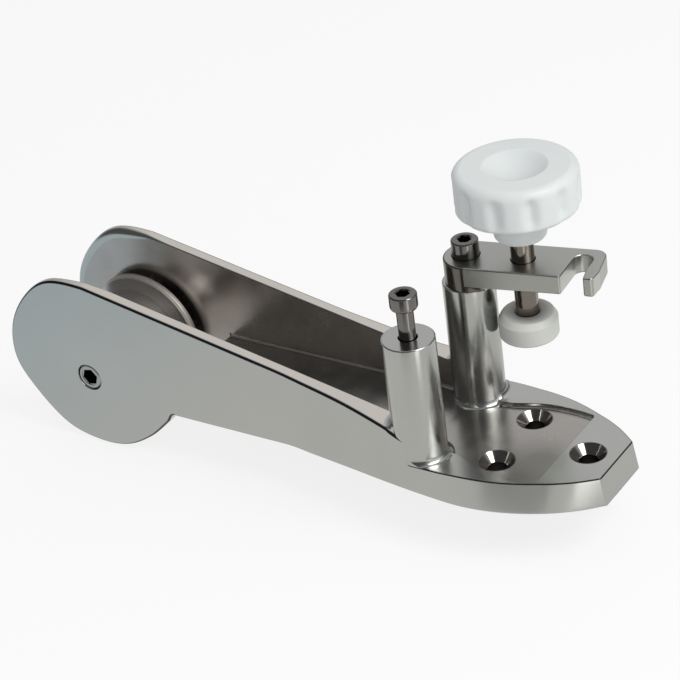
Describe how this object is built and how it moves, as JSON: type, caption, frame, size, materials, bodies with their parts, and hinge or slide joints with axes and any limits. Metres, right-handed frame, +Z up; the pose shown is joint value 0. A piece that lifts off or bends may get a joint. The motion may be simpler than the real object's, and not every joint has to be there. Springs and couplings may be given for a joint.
{
  "type": "bow roller",
  "caption": "Bow roller for an anchor chain: cheeks round a grooved roller, a screw-down deck plate, and posts with a swinging latch arm and a screw clamp.",
  "frame": {"origin": "on the deck plane, midway between the two posts", "axes": "+X from the roller to the tail, +Y from the lock screw's post to the pivot post, +Z up from the deck"},
  "size_m": [0.3306, 0.1045, 0.1659],
  "materials": {
    "cast_steel": "mirror-polished stainless steel casting",
    "roller_steel": "turned and polished stainless steel",
    "screw_steel": "polished stainless steel fastener",
    "bearing_plastic": "dry-running bearing plastic",
    "insert_brass": "machined brass",
    "knob_plastic": "moulded white plastic, satin",
    "pad_plastic": "turned off-white plastic, matte"
  },
  "bodies": {
    "deck_frame": {"roller_frame": "cast_steel", "axle_pin": "screw_steel", "thrust_washer_near": "screw_steel", "thrust_washer_far": "screw_steel", "pivot_sleeve": "screw_steel", "pivot_screw": "screw_steel"},
    "roller": {"roller": "roller_steel", "roller_bush_near": "bearing_plastic", "roller_bush_far": "bearing_plastic"},
    "latch": {"latch_arm": "cast_steel"},
    "pad": {"clamp_pad": "pad_plastic", "pad_clip": "screw_steel"},
    "clamp": {"clamp_screw": "screw_steel", "clamp_knob": "knob_plastic", "knob_insert": "insert_brass"},
    "lock": {"lock_screw": "screw_steel"}
  },
  "joints": [
    {"name": "roller_spin", "type": "hinge", "parent": "deck_frame", "child": "roller", "pos_m": [-0.1934, 0, 0.0103], "axis": [0, 1, 0], "continuous": true},
    {"name": "latch_swing", "type": "hinge", "parent": "deck_frame", "child": "latch", "pos_m": [0, 0.0275, 0], "axis": [0, 0, 1], "range_deg": [-105, 235]},
    {"name": "clamp_travel", "type": "slide", "parent": "latch", "child": "pad", "axis": [0, 0, 1], "range_m": [-0.0117, 0.0149]},
    {"name": "clamp_turn", "type": "hinge", "parent": "pad", "child": "clamp", "pos_m": [0.0269, 0.03322, 0], "axis": [0, 0, 1], "range_deg": [-2400, 3065]},
    {"name": "lock_travel", "type": "slide", "parent": "deck_frame", "child": "lock", "axis": [0, 0, 1], "range_m": [-0.0016, 0.0055]}
  ],
  "couplings": [
    {"joint": "clamp_travel", "follows": "clamp_turn", "m_per_rad": 0.00027852}
  ]
}
